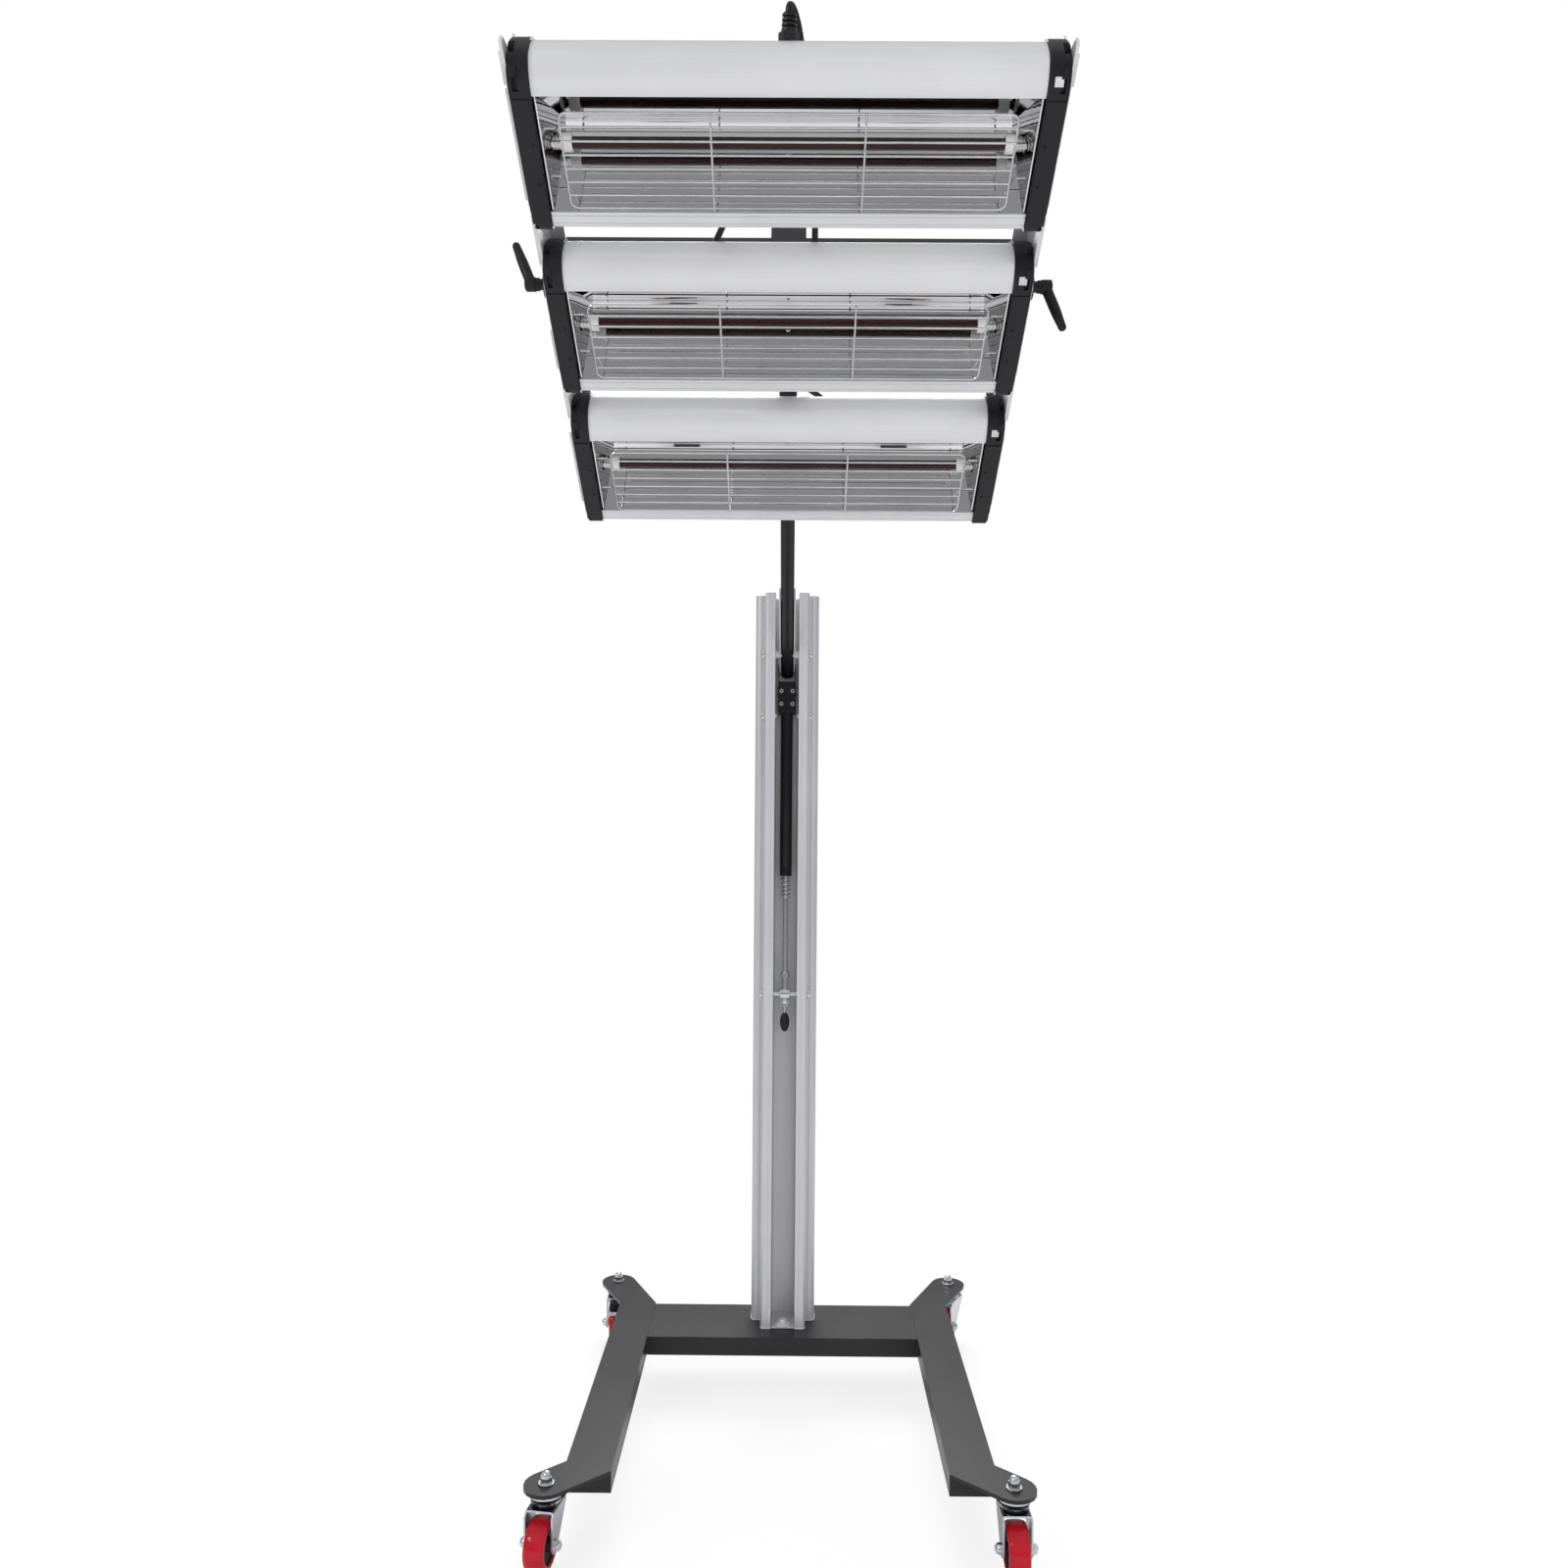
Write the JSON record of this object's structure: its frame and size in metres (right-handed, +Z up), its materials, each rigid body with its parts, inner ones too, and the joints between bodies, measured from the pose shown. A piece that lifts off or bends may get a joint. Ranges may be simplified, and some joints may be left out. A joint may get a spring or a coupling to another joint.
{
  "type": "infrared paint curing lamp",
  "caption": "Mobile infrared paint curing lamp: stacked reflector lamps on a tilting head, a lifting arm with locking strut, a channel column and an H-shaped castor base.",
  "frame": {"origin": "on the floor, at the middle of the overall footprint", "axes": "+Z up, the lamps face -Y, +X to the viewer's right"},
  "size_m": [0.6308, 1.0245, 1.7132],
  "materials": {
    "black_steel": "satin black powder coat",
    "column_aluminium": "satin anodised",
    "zinc": "bright zinc plate",
    "wheel_red": "moulded red",
    "black_plastic": "moulded black",
    "lamp_aluminium": "satin anodised",
    "mirror": "polished mirror",
    "chrome": "bright chrome",
    "heater_glass": "ruby-black quartz",
    "rubber": "matt rubber"
  },
  "bodies": {
    "base": {"cross_beam": "black_steel", "left_beam": "black_steel", "right_beam": "black_steel", "column": "column_aluminium", "column_foot": "zinc", "pivot_pin": "zinc", "lower_pin": "zinc", "front_left_castor_stem": "zinc", "front_right_castor_stem": "zinc", "back_left_castor_stem": "zinc", "back_right_castor_stem": "zinc"},
    "arm": {"arm_tube": "black_steel", "arm_saddle": "zinc", "arm_clamp": "black_steel", "crossbar": "black_steel", "left_yoke_arm": "black_steel", "right_yoke_arm": "black_steel"},
    "head": {"top_lamp_housing": "lamp_aluminium", "top_lamp_reflector": "mirror", "top_lamp_heater": "heater_glass", "top_lamp_guard": "chrome", "top_lamp_left_cap": "black_plastic", "top_lamp_right_cap": "black_plastic", "middle_lamp_housing": "lamp_aluminium", "middle_lamp_reflector": "mirror", "middle_lamp_heater": "heater_glass", "middle_lamp_guard": "chrome", "middle_lamp_left_cap": "black_plastic", "middle_lamp_right_cap": "black_plastic", "bottom_lamp_housing": "lamp_aluminium", "bottom_lamp_reflector": "mirror", "bottom_lamp_heater": "heater_glass", "bottom_lamp_guard": "chrome", "bottom_lamp_left_cap": "black_plastic", "bottom_lamp_right_cap": "black_plastic", "left_rail": "lamp_aluminium", "right_rail": "lamp_aluminium", "lead_gland": "rubber", "top_lead": "rubber", "left_lead": "rubber", "lower_lead": "rubber"},
    "left_lever": {"left_clamp_lever": "black_plastic"},
    "right_lever": {"right_clamp_lever": "black_plastic"},
    "strut_upper": {"strut_fork": "black_steel", "strut_tube": "black_steel", "bump_spring": "zinc"},
    "strut_lower": {"strut_rod": "zinc"},
    "release": {"release_lever": "black_plastic"},
    "front_left_fork": {"front_left_castor_fork": "zinc"},
    "front_left_wheel": {"front_left_wheel": "wheel_red"},
    "front_right_fork": {"front_right_castor_fork": "zinc"},
    "front_right_wheel": {"front_right_wheel": "wheel_red"},
    "back_left_fork": {"back_left_castor_fork": "zinc"},
    "back_left_wheel": {"back_left_wheel": "wheel_red"},
    "back_left_pedal": {"back_left_brake_pedal": "zinc"},
    "back_right_fork": {"back_right_castor_fork": "zinc"},
    "back_right_wheel": {"back_right_wheel": "wheel_red"},
    "back_right_pedal": {"back_right_brake_pedal": "zinc"}
  },
  "joints": [
    {"name": "arm_lift", "type": "hinge", "parent": "base", "child": "arm", "pos_m": [0, 0.3095, 1.171], "axis": [-1, 0, 0], "range_deg": [-25, 15]},
    {"name": "head_tilt", "type": "hinge", "parent": "arm", "child": "head", "pos_m": [0, -0.28047, 1.51603], "axis": [-1, 0, 0], "range_deg": [-3, 42]},
    {"name": "left_lever_turn", "type": "hinge", "parent": "arm", "child": "left_lever", "pos_m": [0, -0.28047, 1.51603], "axis": [1, 0, 0], "range_deg": [-60, 60]},
    {"name": "right_lever_turn", "type": "hinge", "parent": "arm", "child": "right_lever", "pos_m": [0, -0.28047, 1.51603], "axis": [1, 0, 0], "range_deg": [-60, 60]},
    {"name": "strut_top_turn", "type": "hinge", "parent": "arm", "child": "strut_upper", "pos_m": [0, 0.33779, 1.14874], "axis": [-1, 0, 0], "range_deg": [-16, 26]},
    {"name": "strut_bottom_turn", "type": "hinge", "parent": "base", "child": "strut_lower", "pos_m": [0, 0.3095, 0.627], "axis": [-1, 0, 0], "range_deg": [-0.6, 0.9]},
    {"name": "release_pull", "type": "hinge", "parent": "strut_lower", "child": "release", "pos_m": [0, 0.30874, 0.61302], "axis": [-1, 0, 0], "range_deg": [-10, 60]},
    {"name": "front_left_swivel", "type": "hinge", "parent": "base", "child": "front_left_fork", "pos_m": [-0.2875, -0.1515, 0.079], "axis": [0, 0, 1], "continuous": true},
    {"name": "front_left_roll", "type": "hinge", "parent": "front_left_fork", "child": "front_left_wheel", "pos_m": [-0.29032, -0.16928, 0.0315], "axis": [0.9877, -0.1564, 0], "continuous": true},
    {"name": "front_right_swivel", "type": "hinge", "parent": "base", "child": "front_right_fork", "pos_m": [0.2875, -0.1515, 0.079], "axis": [0, 0, 1], "continuous": true},
    {"name": "front_right_roll", "type": "hinge", "parent": "front_right_fork", "child": "front_right_wheel", "pos_m": [0.2875, -0.1695, 0.0315], "axis": [1, 0, 0], "continuous": true},
    {"name": "back_left_swivel", "type": "hinge", "parent": "base", "child": "back_left_fork", "pos_m": [-0.2875, 0.4845, 0.079], "axis": [0, 0, 1], "continuous": true},
    {"name": "back_left_roll", "type": "hinge", "parent": "back_left_fork", "child": "back_left_wheel", "pos_m": [-0.28624, 0.46654, 0.0315], "axis": [0.9976, 0.0698, 0], "continuous": true},
    {"name": "back_left_brake", "type": "hinge", "parent": "back_left_fork", "child": "back_left_pedal", "pos_m": [-0.28593, 0.46205, 0.069], "axis": [0.9976, 0.0698, 0], "range_deg": [0, 18]},
    {"name": "back_right_swivel", "type": "hinge", "parent": "base", "child": "back_right_fork", "pos_m": [0.2875, 0.4845, 0.079], "axis": [0, 0, 1], "continuous": true},
    {"name": "back_right_roll", "type": "hinge", "parent": "back_right_fork", "child": "back_right_wheel", "pos_m": [0.2785, 0.46891, 0.0315], "axis": [0.866, -0.5, 0], "continuous": true},
    {"name": "back_right_brake", "type": "hinge", "parent": "back_right_fork", "child": "back_right_pedal", "pos_m": [0.27625, 0.46501, 0.069], "axis": [0.866, -0.5, 0], "range_deg": [0, 18]}
  ],
  "couplings": [
    {"joint": "strut_top_turn", "follows": "arm_lift", "ratio": -1.034},
    {"joint": "strut_bottom_turn", "follows": "arm_lift", "ratio": -0.034}
  ]
}
